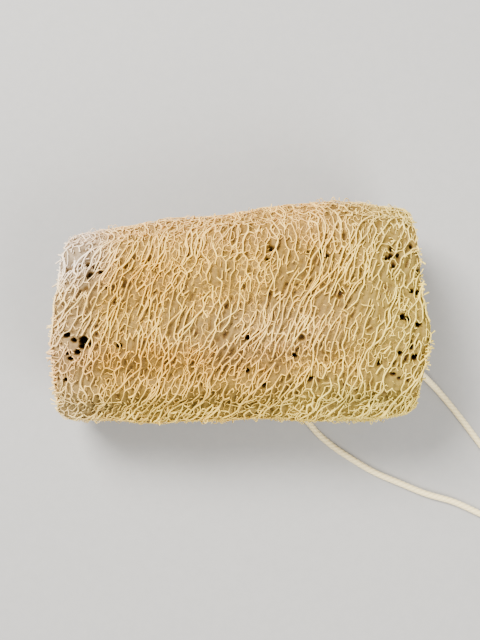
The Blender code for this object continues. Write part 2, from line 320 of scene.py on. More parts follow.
loop_line = smooth_route(loop_route, cord_step)
loop = grown("cotton_loop", cotton, plied(loop_line, cord_radius))
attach(loop, "root")
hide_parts("cord_loop")
float(ways_along(loop_line)[-1] * MM)

held_line = smooth_route(held_route, cord_step)
held = grown("cotton_held", cotton, plied(held_line, cord_radius))
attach(held, "root")
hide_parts("cord_held")

# The knot: both ends of the cord in one overhand knot, pulled tight, which squeezes the cord to 2.1 mm.
# The cut tails stand out of it, along the chamber.
knot_half_length = 2.6
knot_half_width = 1.02
knot_turn = np.linspace(0, 2 * math.pi, 200)
knot_line = np.stack(
    [
        -knot_half_length * np.sin(3 * knot_turn),
        knot_half_width * (np.sin(knot_turn) + 2 * np.sin(2 * knot_turn)),
        knot_half_width * (np.cos(knot_turn) - 2 * np.cos(2 * knot_turn)),
    ],
    axis=1,
)
knot = grown(
    "cotton_knot",
    cotton,
    plied(even_steps(knot_middle + knot_line, cord_step), knot_radius),
    *(plied(smooth_route(tail, cord_step), knot_radius) for tail in knot_tails),
)
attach(knot, "root")
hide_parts("cord_knot")

# The strong fibres. They are a ripe loofah's veins, dried hard and stripped of skin and flesh: cream
# strands 0.3 to 0.7 mm thick that lean round the fruit and part and join in long narrow meshes.

# The form that they cover has a rounded oval section, 12 low ribs, and a worn flat spot underneath.
# Each station of the form is its place along X, half width, half height and sideways shift. Each cut is its
# place, its slant, and how far it has sprung out in the middle and at the sides.
stations = np.array(
    [
        (-92, 31.0, 25.0, -6.9),
        (-72, 38.2, 28.8, -6.7),
        (-36, 41.7, 31.2, -4.4),
        (0, 43.2, 32.4, -1.9),
        (38, 45.4, 33.6, 0.1),
        (64, 43.6, 33.0, -0.3),
        (92, 36.0, 29.0, -1.1),
    ]
)
section_power = 2.35
sink = 0.75
cuts = ((-73.6, 0.045, -2.0, -0.4), (75.0, -0.012, 1.2, -2.6))
bulge_middle = -10
bulge_half = 26
ribs = 12
rib_height = 0.9
rib_phase = math.radians(-108)
rib_sway = 0.35
rib_sway_length = 31
wave_height = 0.35
wave_lengths = (5.3, 9.1)
rest_half = (36, 11)
rest_fade = 7
rest_reach_up = 12
rim_drop = 1.5
rim_width = 4.0


def station(x):
    """Half width, half height and sideways shift of the section at each x."""
    last = len(stations) - 1
    i = np.clip(np.searchsorted(stations[:, 0], x, side="right") - 1, 0, last - 1)
    f = (x - stations[i, 0]) / (stations[i + 1, 0] - stations[i, 0])
    rows = [stations[np.clip(i + k, 0, last), 1:] for k in (-1, 0, 1, 2)]
    return np.moveaxis(through(*rows, f[..., None]), -1, 0)


def signed_power(value, power):
    return np.sign(value) * np.abs(value) ** power


def on_section(x, turn):
    """Points at an angle round the plain section at x, and the directions out of it."""
    wide, high, shift = station(x)
    c, s = np.cos(turn), np.sin(turn)
    y = shift + wide * signed_power(c, 2 / section_power)
    z = high - sink + high * signed_power(s, 2 / section_power)
    slope = 2 - 2 / section_power
    out = np.stack([np.zeros_like(y), signed_power(c, slope) / wide, signed_power(s, slope) / high], -1)
    return np.stack([x, y, z], -1), unit(out)


girth_turns = np.linspace(0, 2 * math.pi, 721)
girth_ways = ways_along(on_section(np.zeros(721), girth_turns)[0])
girth = girth_ways[-1]


def smooth_step(value):
    value = np.clip(value, 0, 1)
    return value * value * (3 - 2 * value)


def past(place, start, fade):
    """0 up to a start and 1 once past it by the fade, smooth between."""
    return smooth_step((place - start) / fade)


def round_patch(x, y, middle, reach):
    """1 in the middle of a soft round patch, and gone at about two reaches from it."""
    return np.exp(-(((x - middle[0]) / reach[0]) ** 2) - ((y - middle[1]) / reach[1]) ** 2)


def cut_place(end, y):
    """Where the cut of an end lies along X. It is slanted, and has sprung out in the middle."""
    at, slant, in_middle, at_sides = cuts[end]
    swell = 0.5 + 0.5 * np.cos(math.pi * np.clip((y - bulge_middle) / bulge_half, -1, 1))
    return at + slant * y + at_sides + (in_middle - at_sides) * swell


def skin(x, way, lift, clear=0.3):
    """Points over the ribbed skin at a length of girth, kept clear of the surface, and directions out."""
    turn = np.interp(way % girth, girth_ways, girth_turns)
    plain, out = on_section(x, turn)
    rib = rib_height * np.cos(ribs * turn + rib_phase + rib_sway * np.sin(x / rib_sway_length))
    short, long = wave_lengths
    wave = wave_height * (np.sin(x / short + 3 * turn) + np.sin(x / long - 5 * turn))
    from_end = np.minimum(x - cut_place(0, plain[..., 1]), cut_place(1, plain[..., 1]) - x)
    rim = rim_drop * (1 - smooth_step(from_end / rim_width)) ** 2
    low = plain[..., 2] < rest_reach_up
    along = smooth_step((rest_half[0] + rest_fade - np.abs(x)) / rest_fade)
    across = smooth_step((rest_half[1] + rest_fade - np.abs(plain[..., 1])) / rest_fade)
    rest = np.where(low, along * across, 0)
    points = plain + ((rib + wave - rim + lift) * (1 - rest))[..., None] * out
    points[..., 2] = np.maximum(points[..., 2], clear)
    return points, out


# How the meshes run: by share of the girth from the far side over the top, the lean of the strands from
# square and the length of a mesh for its width.
lean_shares = (0, 0.06, 0.14, 0.26, 0.38, 0.46, 0.56, 0.75, 0.92, 1)
lean_degrees = (-22, -8, 12, 19, 16, 24, 12, 16, 0, -22)
length_shares = (0, 0.07, 0.13, 0.17, 0.21, 0.29, 0.32, 0.35, 0.42, 0.52, 0.60, 0.80, 0.93, 1)
mesh_lengths = (2.0, 2.4, 3.4, 2.1, 3.8, 3.6, 2.6, 3.2, 1.9, 1.7, 2.6, 3.0, 2.6, 2.0)
net_half = 88
net_area = ((-net_half, 0), (net_half, girth))
strong_mesh_width = 3.2
table_ways = np.linspace(-girth, 2 * girth, 2161)
table_shares = (table_ways % girth) / girth
table_step = table_ways[1] - table_ways[0]
lean_table = np.cumsum(np.tan(np.radians(np.interp(table_shares, lean_shares, lean_degrees)))) * table_step
length_table = np.cumsum(1 / np.interp(table_shares, length_shares, mesh_lengths)) * table_step


def strong_plane(x, way):
    """A place on the skin in the plane where the strong meshes are about round and lie along v."""
    trip = 2 * math.pi * way / girth
    sway = 2.6 * np.sin(x / 17 + 3 * trip) + 1.2 * np.sin(x / 9 - 5 * trip)
    u = x + sway + np.interp(way, table_ways, lean_table)
    return np.stack([u, np.interp(way, table_ways, length_table)], -1)


def flow(plane, places):
    """Direction in which the strands of a net run at each place."""
    x, way = places[..., 0], places[..., 1]
    small = 0.5
    u_round = plane(x, way + small)[..., 0] - plane(x, way - small)[..., 0]
    u_along = plane(x + small, way)[..., 0] - plane(x - small, way)[..., 0]
    return unit(np.stack([-u_round, u_along], -1))


def spread_out(draw, count, low, high, plane, picks, wrap=0.0):
    """Evenly scattered places: each is the one of a few picks that lies furthest from those before it."""
    spots = draw.uniform(low, high, (count, picks, 2))
    flats = plane(spots[..., 0], spots[..., 1])
    trip = plane(0.0, wrap) - plane(0.0, 0.0)
    trips = [turns * trip for turns in ((-1, 0, 1) if wrap else (0,))]
    held = np.full((len(trips), count, 2), 1e6)
    chosen = np.empty((count, 2))
    for k in range(count):
        gaps = ((flats[k][:, None, None] - held[:, :k][None]) ** 2).sum(-1)
        best = gaps.reshape(picks, -1).min(1).argmax() if k else 0
        chosen[k] = spots[k, best]
        for some, trip in zip(held, trips):
            some[k] = flats[k, best] + trip
    return chosen


def strands_between(spots, plane, wrap=0.0, overlap=16.0):
    """Both ends of every strand of the net that has one mesh round each spot."""
    spread = spots
    if wrap:
        before = spots[spots[:, 1] > wrap - overlap] - (0, wrap)
        after = spots[spots[:, 1] < overlap] + (0, wrap)
        spread = np.vstack([spots, before, after])
    flats = plane(spread[:, 0], spread[:, 1])
    _, _, triangles, origins, _, _ = delaunay_2d_cdt([tuple(p) for p in flats], [], [], 0, 1e-7)
    first = np.array([origin[0] for origin in origins])
    triangles = first[np.array(triangles)]
    middles = spread[triangles].mean(axis=1)
    sides = np.sort(np.concatenate([triangles[:, [0, 1]], triangles[:, [1, 2]], triangles[:, [2, 0]]]), 1)
    owners = np.tile(np.arange(len(triangles)), 3)
    order = np.lexsort((sides[:, 1], sides[:, 0]))
    sides, owners = sides[order], owners[order]
    twin = (sides[1:] == sides[:-1]).all(1)
    starts, ends = middles[owners[:-1][twin]], middles[owners[1:][twin]]
    if wrap:
        half_way = (starts[:, 1] + ends[:, 1]) / 2
        inside = (half_way >= 0) & (half_way < wrap)
        starts, ends = starts[inside], ends[inside]
    return starts, ends


def laid(starts, ends, starting, ending, parts):
    """Smooth curves between two places of a plane that leave and arrive in the given directions."""
    t = parts[..., None]
    size = np.linalg.norm(ends - starts, axis=-1)[:, None, None]
    out = (t**3 - 2 * t**2 + t) * size * starting[:, None] + (t**3 - t**2) * size * ending[:, None]
    return starts[:, None] + (3 * t**2 - 2 * t**3) * (ends - starts)[:, None] + out


def bent_to(run, heading, merge):
    """A strand's direction at its end: its own heading, bent to the run so that strands merge in a Y."""
    share = (heading * run).sum(-1, keepdims=True)
    return unit(heading + merge * share * run)


def tubes(lines, reach, out, sides):
    """Points and faces of round strands along lines that have the same number of points each."""
    ahead = unit(np.gradient(lines, axis=1))
    side = unit(np.cross(ahead, out))
    up = np.cross(side, ahead)
    turn = 2 * math.pi * (np.arange(sides) + 0.5) / sides
    ring = side[:, :, None] * np.cos(turn)[:, None] + up[:, :, None] * np.sin(turn)[:, None]
    points = lines[:, :, None] + reach[:, :, None, None] * ring
    first = (np.arange(lines.shape[0] * lines.shape[1]) * sides).reshape(lines.shape[:2])
    k = np.arange(sides)
    rows = first[:, :, None] + k
    after = first[:, :, None] + (k + 1) % sides
    quads = np.stack([rows[:, :-1], rows[:, 1:], after[:, 1:], after[:, :-1]], -1).reshape(-1, 4)
    caps = np.concatenate([rows[:, 0], rows[:, -1, ::-1]])
    return points.reshape(-1, 3), [quads, caps]


def slow_noise(points, length, seed):
    """Soft unevenness from -1 to 1 over points, with lumps of about the given length."""
    draw = np.random.default_rng(seed)
    total = np.zeros(points.shape[:-1])
    for _ in range(9):
        wave = unit(draw.normal(size=3)) * draw.uniform(3, 7) / length
        total += np.sin(points @ wave + draw.uniform(0, 2 * math.pi))
    return np.clip(total / 4, -1, 1)


def tints_and_painted_light(points):
    """How pale, rosy, green-tinged and amber the dried fibre is at each place, from 0 to 1: partly its own
    colour, partly painted light, with a painted highlight at the upper left.
    """
    x, y, _ = np.moveaxis(points, -1, 0)
    patch = 0.5 + 0.5 * slow_noise(points, 38, 3)
    # Painted highlight: the fibre and the tissue are paler at the upper left, on the side toward the key
    # lamp.
    far_left = past(-x, 42, 28) * past(y, 2, 24)
    pale_and_painted_highlight = np.clip(far_left + 0.30 * past(-x, 50, 25) + 0.25 * patch - 0.12, 0, 1)
    rosy = past(y, 16, 24) * (0.55 + 0.45 * patch)
    green = past(-y, 14, 24) * (0.5 + 0.5 * past(x, -10, 70)) * (1 - 0.3 * patch)
    green = np.maximum(green, past(x, 28, 40) * (0.9 - 0.3 * patch))
    amber = past(-y, 8, 10) * past(y, -42, 10) * past(-x, -34, 22)
    amber = np.maximum(amber, 0.7 * round_patch(x, y, (-40, 13), (20, 9))) * (1 - 0.4 * patch)
    return {"pale_and_painted_highlight": pale_and_painted_highlight, "rosy": rosy, "green": green, "amber": amber}


def bare(points):
    """Patches, 10 mm and more across, where smooth tissue shows between few fibres."""
    x, y, _ = np.moveaxis(points, -1, 0)
    far_right = past(x, 34, 18) * past(y, 2, 14)
    corner = 1.2 * round_patch(x, y, (-67, 21), (6, 7))
    return np.clip(smooth_step(0.35 + 0.8 * slow_noise(points, 15, 5)) + 0.7 * far_right + corner, 0, 1)


def strand_shell(lines, reach, out, sides, tone):
    """Shell of strands with the tone of each strand and the tints of its place."""
    points, faces = tubes(lines, reach, out, sides)
    tones = np.repeat(tone, lines.shape[1] * sides)
    return points, faces, {"tone": tones, **tints_and_painted_light(points)}


def step_classes(lengths, keep):
    """The strands that are kept, by how many steps each is laid in."""
    for steps, low, high in ((2, 0, 1.3), (3, 1.3, 2.7), (5, 2.7, 4.6), (7, 4.6, 99)):
        which = np.flatnonzero((lengths >= low) & (lengths < high) & keep)
        if len(which):
            yield which, np.linspace(0, 1, steps + 1)[None].repeat(len(which), 0)


def flared(parts, lengths, swell):
    """How much thicker a strand is along its length: it spreads where it joins others."""
    from_start = parts * lengths[:, None]
    from_end = (1 - parts) * lengths[:, None]
    return 1 + swell * (np.exp(-from_start / 0.45) + np.exp(-from_end / 0.45))


def risen(parts, start_lift, end_lift, bow):
    """Height along strands between those of their two joints, with a bow in the middle."""
    return start_lift + (end_lift - start_lift) * smooth_step(parts) + bow * np.sin(math.pi * parts)


def joint_numbers(starts, ends, wrap):
    """A number for the joint at each end of the strands, the same for every strand that meets there."""
    places = np.vstack([starts, ends])
    keys = np.round(np.stack([places[:, 0], places[:, 1] % wrap], -1) * 500).astype(np.int64)
    return np.split(np.unique(keys, axis=0, return_inverse=True)[1].ravel(), 2)


cord_gap = 0.55
cord_near = np.vstack([held_line[::3], loop_line[:30:3], loop_line[-60::3]])


def clear_of_cord(lines):
    """Whether each line stays out of the cord's way."""
    gaps = np.linalg.norm(lines[:, :, None] - cord_near[None, None], axis=-1)
    return gaps.min((1, 2)) > cord_radius + cord_gap


def within_cuts(starts, ends, starting, ending, stub, checks=12):
    """Whether each strand is rooted between the cuts, and its part there and on its stub past a cut."""
    parts = np.linspace(0, 1, checks + 1)[None].repeat(len(starts), 0)
    plane = laid(starts, ends, starting, ending, parts)
    y = skin(plane[..., 0], plane[..., 1], np.zeros(plane.shape[:2]))[0][..., 1]
    inside = np.minimum(plane[..., 0] - cut_place(0, y), cut_place(1, y) - plane[..., 0])
    rooted = (inside > 0).any(1)
    keep = inside + stub[:, None] > 0
    first = keep.argmax(1)
    last = checks - keep[:, ::-1].argmax(1)
    return rooted & (last > first), first / checks, last / checks


def mesh_count(plane, width):
    """How many meshes of a width cover the skin."""
    return int(2 * net_half * (plane(0.0, girth) - plane(0.0, 0.0))[1] / (0.866 * width**2))


# The holes that show, as x, y and radius: pits 6 mm deep where the tissue has gone, painted near black as
# shade, most of them near the two ends.
holes_above = 22
holes_seen = (
    (-61.1, 20.0, 0.9), (-60.1, 15.2, 1.5), (-58.5, 18.8, 0.6), (-56.0, 16.8, 0.8), (-52.8, 10.4, 0.7),
    (-69.6, -9.1, 1.2), (-66.4, -11.4, 0.9), (-62.5, -11.6, 1.7), (-63.0, -14.0, 1.0), (-59.2, -13.8, 0.8),
    (-68.9, -16.5, 0.8), (-65.0, -16.4, 1.0), (-67.9, -19.0, 0.8), (-70.4, -28.1, 0.8), (-48.0, -13.6, 0.9),
    (60.8, 27.7, 0.6), (60.9, 25.6, 0.7), (60.5, 22.8, 0.7), (62.8, 23.2, 0.6), (58.7, 21.7, 0.7),
    (61.7, 18.5, 0.6), (64.8, -2.0, 1.0), (67.0, -2.8, 0.8), (70.2, -18.5, 1.2), (68.4, -14.1, 0.8),
    (67.7, -12.2, 0.7), (71.1, -5.1, 0.8), (64.0, -16.6, 0.7), (56.0, -20.9, 0.8), (61.5, -25.4, 0.7),
    (64.0, -27.2, 0.6), (69.2, 27.2, 0.7), (71.4, 16.4, 0.7), (68.6, 8.4, 0.7), (71.2, 7.8, 0.7),
    (21.8, -17.7, 0.9), (10.1, -29.9, 0.8), (28.2, -27.2, 1.2), (3.8, -10.4, 0.9), (13.4, 26.2, 0.9),
    (11.7, 21.0, 0.8), (32.7, 24.8, 0.6), (35.1, 22.8, 0.6), (27.2, 24.0, 0.7), (3.4, -24.0, 0.9),
)


def from_hole(points):
    """How far each place on the upper side is from the edge of the nearest hole seen, and 99 elsewhere."""
    gap = np.full(points.shape[:-1], 99.0)
    for x, y, radius in holes_seen:
        gap = np.minimum(gap, np.hypot(points[..., 0] - x, points[..., 1] - y) - radius)
    return np.where(points[..., 2] > holes_above, gap, 99.0)


strong_radius = 0.25
strong_radii = (0.6, 1.35)
strong_merge = 1.7
strong_flare = 0.55
strong_stub = 2.8
strong_joint_lift = (0.05, 0.30)
strong_bow = (0.05, 0.18)
strong_wiggle = 0.10
cross_share = 0.60
cross_dropped = 0.42
long_dropped = 0.12
long_share = 0.80
strong_over_hole = 0.45
strong_bare = 0.30
strong_draw = np.random.default_rng(7)
strong_count = mesh_count(strong_plane, strong_mesh_width)
strong_cells = spread_out(strong_draw, strong_count, *net_area, strong_plane, 5, girth)
starts, ends = strands_between(strong_cells, strong_plane, girth)
heading = unit(ends - starts)
lengths = np.linalg.norm(ends - starts, axis=-1)
start_run, end_run = flow(strong_plane, starts), flow(strong_plane, ends)
share_along = np.abs((heading * start_run).sum(-1))
starting = bent_to(start_run, heading, strong_merge)
ending = bent_to(end_run, heading, strong_merge)
count = len(starts)
drop_chance = np.where(share_along < cross_share, cross_dropped, long_dropped)
dropped = strong_draw.uniform(size=count) < drop_chance
stub = strong_stub * strong_draw.uniform(0, 1, count) ** 2
held_in, first_part, last_part = within_cuts(starts, ends, starting, ending, stub)
start_joint, end_joint = joint_numbers(starts, ends, girth)
joint_lift = strong_draw.normal(*strong_joint_lift, 2 * count)
bow = strong_draw.normal(*strong_bow, count)
band_place = strong_plane((starts + ends)[:, 0] / 2, (starts + ends)[:, 1] / 2)
band = np.sin(band_place[:, 0] / 1.9 + 1.3 * np.sin(band_place[:, 0] / 5.1)) * np.cos(band_place[:, 1] / 11)
thickness = strong_radius * strong_draw.uniform(*strong_radii, count) * (1 + 0.25 * band)
thickness *= 0.62 + 0.38 * past(share_along, 0.3, 0.5)
tones = np.clip(0.5 + 0.22 * band + strong_draw.normal(0, 0.2, count), 0, 1)

long_shells = []
cross_shells = []
strong_samples = []
for which, parts in step_classes(lengths, held_in & ~dropped):
    parts = first_part[which, None] + (last_part - first_part)[which, None] * parts
    plane = laid(starts[which], ends[which], starting[which], ending[which], parts)
    plane[..., 0] += strong_wiggle * np.sin(parts * 9 + 40 * tones[which, None]) * np.sin(math.pi * parts)
    joints = joint_lift[start_joint[which], None], joint_lift[end_joint[which], None]
    lift = risen(parts, *joints, bow[which, None])
    reach = thickness[which, None] * flared(parts, lengths[which], strong_flare)
    lines, out = skin(plane[..., 0], plane[..., 1], lift, reach)
    strong_samples.append(np.concatenate([plane, lift[..., None]], -1).reshape(-1, 3))
    free = clear_of_cord(lines)
    free &= strong_draw.uniform(size=len(which)) > strong_bare * bare(lines[:, 1])
    free &= from_hole(lines).min(-1) > -strong_over_hole
    along = share_along[which] >= long_share
    for shells, kind in ((long_shells, along), (cross_shells, ~along)):
        some = free & kind
        shells.append(strand_shell(lines[some], reach[some], out[some], 4, tones[which][some]))


# Dried plant fibre: cream to straw, hard and dull, with a fine mottled grain. The grain is 0.02 mm in the
# real fibre and is drawn 0.8 mm wide with finer specks. Amber, pale, rosy and green-tinged patches pass
# through all of it, partly its own colour and partly painted light; the pale one at the upper left is a
# painted highlight.
grain_width = 0.77
grain_height = 0.08


def tinted(tree, colour, tints):
    """Lays the tints of each place over a colour: the mask, the tint, and the most of it that shows."""
    for word, tint, most in tints:
        mask = node(tree, "ShaderNodeAttribute", {"attribute_name": word})
        part = node(tree, "ShaderNodeMath", {"operation": "MULTIPLY"}, {0: mask.outputs["Fac"], 1: most})
        colour = node(
            tree,
            "ShaderNodeMix",
            {"data_type": "RGBA"},
            {0: part.outputs[0], 6: colour.outputs[2], 7: linear(tint)},
        )
    return colour


def fibre_finish(name, low, high):
    """Material of one kind of strand, from its straw and cream colours."""
    made = bpy.data.materials.new(name)
    made.use_nodes = True
    tree = made.node_tree
    shader = tree.nodes["Principled BSDF"]
    where = node(tree, "ShaderNodeTexCoord")
    tone = node(tree, "ShaderNodeAttribute", {"attribute_name": "tone"})
    grain = node(
        tree,
        "ShaderNodeTexNoise",
        None,
        {"Vector": where.outputs["Object"], "Scale": 1 / (grain_width * MM), "Detail": 3.0},
    )
    mottle = node(
        tree,
        "ShaderNodeMath",
        {"operation": "MULTIPLY_ADD"},
        {0: grain.outputs["Fac"], 1: 0.7, 2: -0.35},
    )
    amount = node(
        tree,
        "ShaderNodeMath",
        {"operation": "ADD", "use_clamp": True},
        {0: tone.outputs["Fac"], 1: mottle.outputs[0]},
    )
    colour = node(
        tree,
        "ShaderNodeMix",
        {"data_type": "RGBA"},
        {0: amount.outputs[0], 6: linear(low), 7: linear(high)},
    )
    fibre_tints = (
        ("amber", "#DE9C2C", 0.8),
        ("pale_and_painted_highlight", "#F2E2D2", 0.85),
        ("rosy", "#F0C488", 0.6),
        ("green", "#E6DA70", 0.65),
    )
    colour = tinted(tree, colour, fibre_tints)
    rough = node(
        tree,
        "ShaderNodeBump",
        None,
        {"Strength": 0.35, "Distance": grain_height * MM, "Height": grain.outputs["Fac"]},
    )
    tree.links.new(colour.outputs[2], shader.inputs["Base Color"])
    tree.links.new(rough.outputs[0], shader.inputs["Normal"])
    shader.inputs["Roughness"].default_value = 0.62
    shader.inputs["IOR"].default_value = 1.5
    shader.inputs["Specular IOR Level"].default_value = 0.3
    return made


def sponge_piece(name, material, *shells):
    """A piece of the one grown sponge, made and attached to the root, with the model's own sponge hidden."""
    piece = grown(name, material, *shells)
    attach(piece, "root")
    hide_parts("sponge")


cream_fibre = fibre_finish("cream_loofah_fibre", "#D8A230", "#FFD65A")
sponge_piece("strong_fibres", cream_fibre, *long_shells)
sponge_piece("cross_fibres", cream_fibre, *cross_shells)

# The long fibres. Here and there a stouter vein, 0.4 to 0.7 mm thick, runs on over the net for 12 to 34 mm,
# winds a little and forks. Its ends dive into the net.
long_count = 210
fork_count = 150
long_runs = (12, 34)
long_windings = ((6, 11, 0.4), (12, 26, 1.0))
long_slant = (-0.12, 0.2)
fork_slant = (0.14, 0.30)
long_past_cut = 0.8
long_radii = (0.19, 0.34)
long_lift = (0.2, 0.5)
long_rise = (0.14, 2.1)
long_dive = 0.45
long_dive_share = 0.12
long_tip = 0.55
long_thin_share = 0.15
fewest_steps = 6


def off_ends(share):
    """0 at both ends of the long fibres and 1 once past them by a share of their length."""
    return smooth_step(long_parts / share) * smooth_step((1 - long_parts) / share)


long_draw = np.random.default_rng(13)
long_spots = spread_out(long_draw, long_count, *net_area, strong_plane, 6, girth)
first_way = np.concatenate([long_spots[:, 1], np.zeros(fork_count)])
first_u = np.concatenate([strong_plane(*long_spots.T)[:, 0], np.zeros(fork_count)])
count = long_count + fork_count
runs = long_draw.uniform(*long_runs, count)
long_parts = np.linspace(0, 1, 25)
along_run = runs[:, None] * long_parts
winding = np.zeros(along_run.shape)
for low, high, height in long_windings:
    turns = along_run / long_draw.uniform(low, high, (count, 1))
    winding += height * np.sin(2 * math.pi * (turns + long_draw.uniform(0, 1, (count, 1))))
winding -= winding[:, :1]
slant = long_draw.normal(*long_slant, count)
for k in range(long_count, count):
    parent, fork = k - long_count, long_draw.integers(3, 20)
    first_way[k] = first_way[parent] + runs[parent] * long_parts[fork]
    first_u[k] = first_u[parent] + winding[parent, fork] + slant[parent] * runs[parent] * long_parts[fork]
    slant[k] = slant[parent] + long_draw.choice((-1, 1)) * long_draw.uniform(*fork_slant)
winding += slant[:, None] * runs[:, None] * long_parts
way = first_way[:, None] + along_run
u = first_u[:, None] + winding
x = u - np.interp(way, table_ways, lean_table)
for _ in range(8):
    x -= strong_plane(x, way)[..., 0] - u
y = skin(x, way, np.zeros(x.shape))[0][..., 1]
inside = np.minimum(x - cut_place(0, y), cut_place(1, y) - x) > -long_past_cut
thickness = long_draw.uniform(*long_radii, count)
ends_thin = long_tip + (1 - long_tip) * off_ends(long_thin_share)
swelling = 1 + 0.12 * np.sin(2 * math.pi * (2.3 * long_parts + first_u[:, None]))
reach = thickness[:, None] * ends_thin * swelling
lift = long_draw.uniform(*long_lift, (count, 1))
lift = lift + long_rise[0] * np.sin(along_run / long_rise[1] + first_u[:, None])
lift -= long_dive * (1 - off_ends(long_dive_share))
tones = long_draw.uniform(0.3, 1, count)
lines, out = skin(x, way, lift, reach)
vein_shells = []
for line, some_reach, directions, within, tone in zip(lines, reach, out, inside, tones):
    picked = np.flatnonzero(within)
    if len(picked) <= fewest_steps or (np.diff(picked) > 1).any():
        continue
    vein = line[None, picked], some_reach[None, picked], directions[None, picked]
    if from_hole(vein[0]).min() >= -strong_over_hole and clear_of_cord(vein[0])[0]:
        vein_shells.append(strand_shell(*vein, 4, np.array([tone])))
sponge_piece("long_fibres", cream_fibre, *vein_shells)

# The fine fibres. Smaller veins, 0.2 to 0.5 mm thick, make a closer net just under the strong ones and
# stand straighter across the fruit. The tissue clings to them.
fine_mesh_width = 2.2
fine_length = 1.7
fine_lean = 0.12
fine_under = 0.40
fine_merge = 0.8
fine_stub = 1.8
fine_missing = 0.18
fine_joint_lift = 0.2
fine_bow = 0.15
fine_radii = (0.12, 0.23)
fine_flare = 0.4
fine_over_hole = 0.1
fine_bare = 0.65


def fine_plane(x, way):
    """A place on the skin in the plane where the fine meshes are about round."""
    trip = 2 * math.pi * way / girth
    return np.stack([x + 1.8 * np.sin(x / 13 - 4 * trip) + fine_lean * way, way / fine_length], -1)


fine_draw = np.random.default_rng(19)
fine_count = mesh_count(fine_plane, fine_mesh_width)
fine_cells = spread_out(fine_draw, fine_count, *net_area, fine_plane, 4, girth)
starts, ends = strands_between(fine_cells, fine_plane, girth)
heading = unit(ends - starts)
lengths = np.linalg.norm(ends - starts, axis=-1)
starting = bent_to(flow(fine_plane, starts), heading, fine_merge)
ending = bent_to(flow(fine_plane, ends), heading, fine_merge)
count = len(starts)
stub = fine_stub * fine_draw.uniform(0, 1, count) ** 2
held_in, first_part, last_part = within_cuts(starts, ends, starting, ending, stub)
kept = fine_draw.uniform(size=count) > fine_missing
start_joint, end_joint = joint_numbers(starts, ends, girth)
joint_lift = fine_draw.normal(-fine_under, fine_joint_lift, 2 * count)
bow = fine_draw.normal(0, fine_bow, count)
thickness = fine_draw.uniform(*fine_radii, count)
tones = fine_draw.uniform(0, 1, count)
fine_shells = []
fine_samples = []
for which, parts in step_classes(lengths * 0.5, held_in & kept):
    parts = first_part[which, None] + (last_part - first_part)[which, None] * parts
    plane = laid(starts[which], ends[which], starting[which], ending[which], parts)
    joints = joint_lift[start_joint[which], None], joint_lift[end_joint[which], None]
    lift = risen(parts, *joints, bow[which, None])
    reach = thickness[which, None] * flared(parts, lengths[which], fine_flare)
    lines, out = skin(plane[..., 0], plane[..., 1], lift, reach)
    fine_samples.append(np.concatenate([plane, lift[..., None]], -1).reshape(-1, 3))
    free = clear_of_cord(lines) & (from_hole(lines).min(-1) > -fine_over_hole)
    free &= fine_draw.uniform(size=len(which)) > fine_bare * bare(lines[:, 1])
    fine_shells.append(strand_shell(lines[free], reach[free], out[free], 3, tones[which][free]))
straw_fibre = fibre_finish("straw_loofah_fibre", "#CC9830", "#FFD254")
sponge_piece("fine_fibres", straw_fibre, *fine_shells)

# The papery tissue between the fibres. Dried flesh clings to the veins in thin sagging webs, golden where
# the light comes through, with deep pits where it has gone, whose colour is darkened as painted shade. It
# carries on down the three seed chambers and over the cut ends, so it is one closed body.
body_columns = 226
upper_share = 0.52
upper_rows = 206
under_rows = 116
web_under = 0.14
web_edge = 0.12
web_reach = 1.0
web_depths = (0.1, 0.75)
web_drop = 0.34
web_slope = 1.5
web_half_ridge = 0.2
web_softness = 0.12
bare_sag = 0.8
bare_reach = 1.5
pit_depths = (1.2, 2.8)
pit_chances = {"anywhere": 0.03, "groove": 0.10, "end": 0.08, "row": 0.16}
pit_rows = ((10, 5), (-12, 3), (-27, 6))
hole_depth = 6.0
hole_rim = 0.3
hole_slope = 0.7
cord_way = 1.6
edge_relief = 0.25
edge_fade = 1.2

# Each seed chamber is its heading from the core, its distance, and its reach along and across that heading,
# as shares of the section. A wall counts as sunk by the same depth all over, and more in its lumps, which
# darkens the tissue's colour there as painted shade inside the chambers.
chambers = (
    (math.pi, 0.46, 0.30, 0.42),
    (math.radians(52), 0.50, 0.26, 0.42),
    (math.radians(-52), 0.50, 0.26, 0.42),
)
chamber_flare = 0.22
chamber_ruffle = 0.035
chamber_ruffle_length = 14
chamber_lumps = ((0.045, 9, 20), (0.03, 4, 30))
chamber_taper = 0.4
chamber_columns = 80
chamber_rows = 56
wall_shade_depth = 1.4
wall_lump_shade_depth = 8


def tree_of(places, overlap=6.0, plane=None):
    """Search tree over places on the skin, repeated past the seam of the girth."""
    order = np.arange(len(places))
    before = order[places[:, 1] > girth - overlap]
    after = order[places[:, 1] < overlap]
    spread = np.vstack([places[:, :2], places[before, :2] - (0, girth), places[after, :2] + (0, girth)])
    sources = np.concatenate([order, before, after])
    if plane:
        spread = plane(spread[:, 0], spread[:, 1])
    found = KDTree(len(spread))
    for spot, source in zip(spread.tolist(), sources.tolist()):
        found.insert((*spot, 0.0), source)
    found.balance()
    return found


web_draw = np.random.default_rng(11)
cell_sag = web_draw.uniform(*web_depths, fine_count)
cell_points, _ = skin(fine_cells[:, 0], fine_cells[:, 1], np.zeros(fine_count))
cell_turn = np.interp(fine_cells[:, 1], girth_ways, girth_turns)
in_groove = -np.cos(ribs * cell_turn + rib_phase + rib_sway * np.sin(fine_cells[:, 0] / rib_sway_length))
near_end = past(np.abs(fine_cells[:, 0]), 50, 22)
in_row = sum(np.exp(-(((cell_points[:, 1] - y) / width) ** 2)) for y, width in pit_rows)
open_chance = pit_chances["anywhere"] + pit_chances["groove"] * smooth_step(in_groove) ** 2
open_chance += pit_chances["end"] * near_end + pit_chances["row"] * in_row
open_cells = web_draw.uniform(size=fine_count) < open_chance
cell_sag[open_cells] = web_draw.uniform(*pit_depths, open_cells.sum())
cell_tree = tree_of(fine_cells, 16.0, fine_plane)

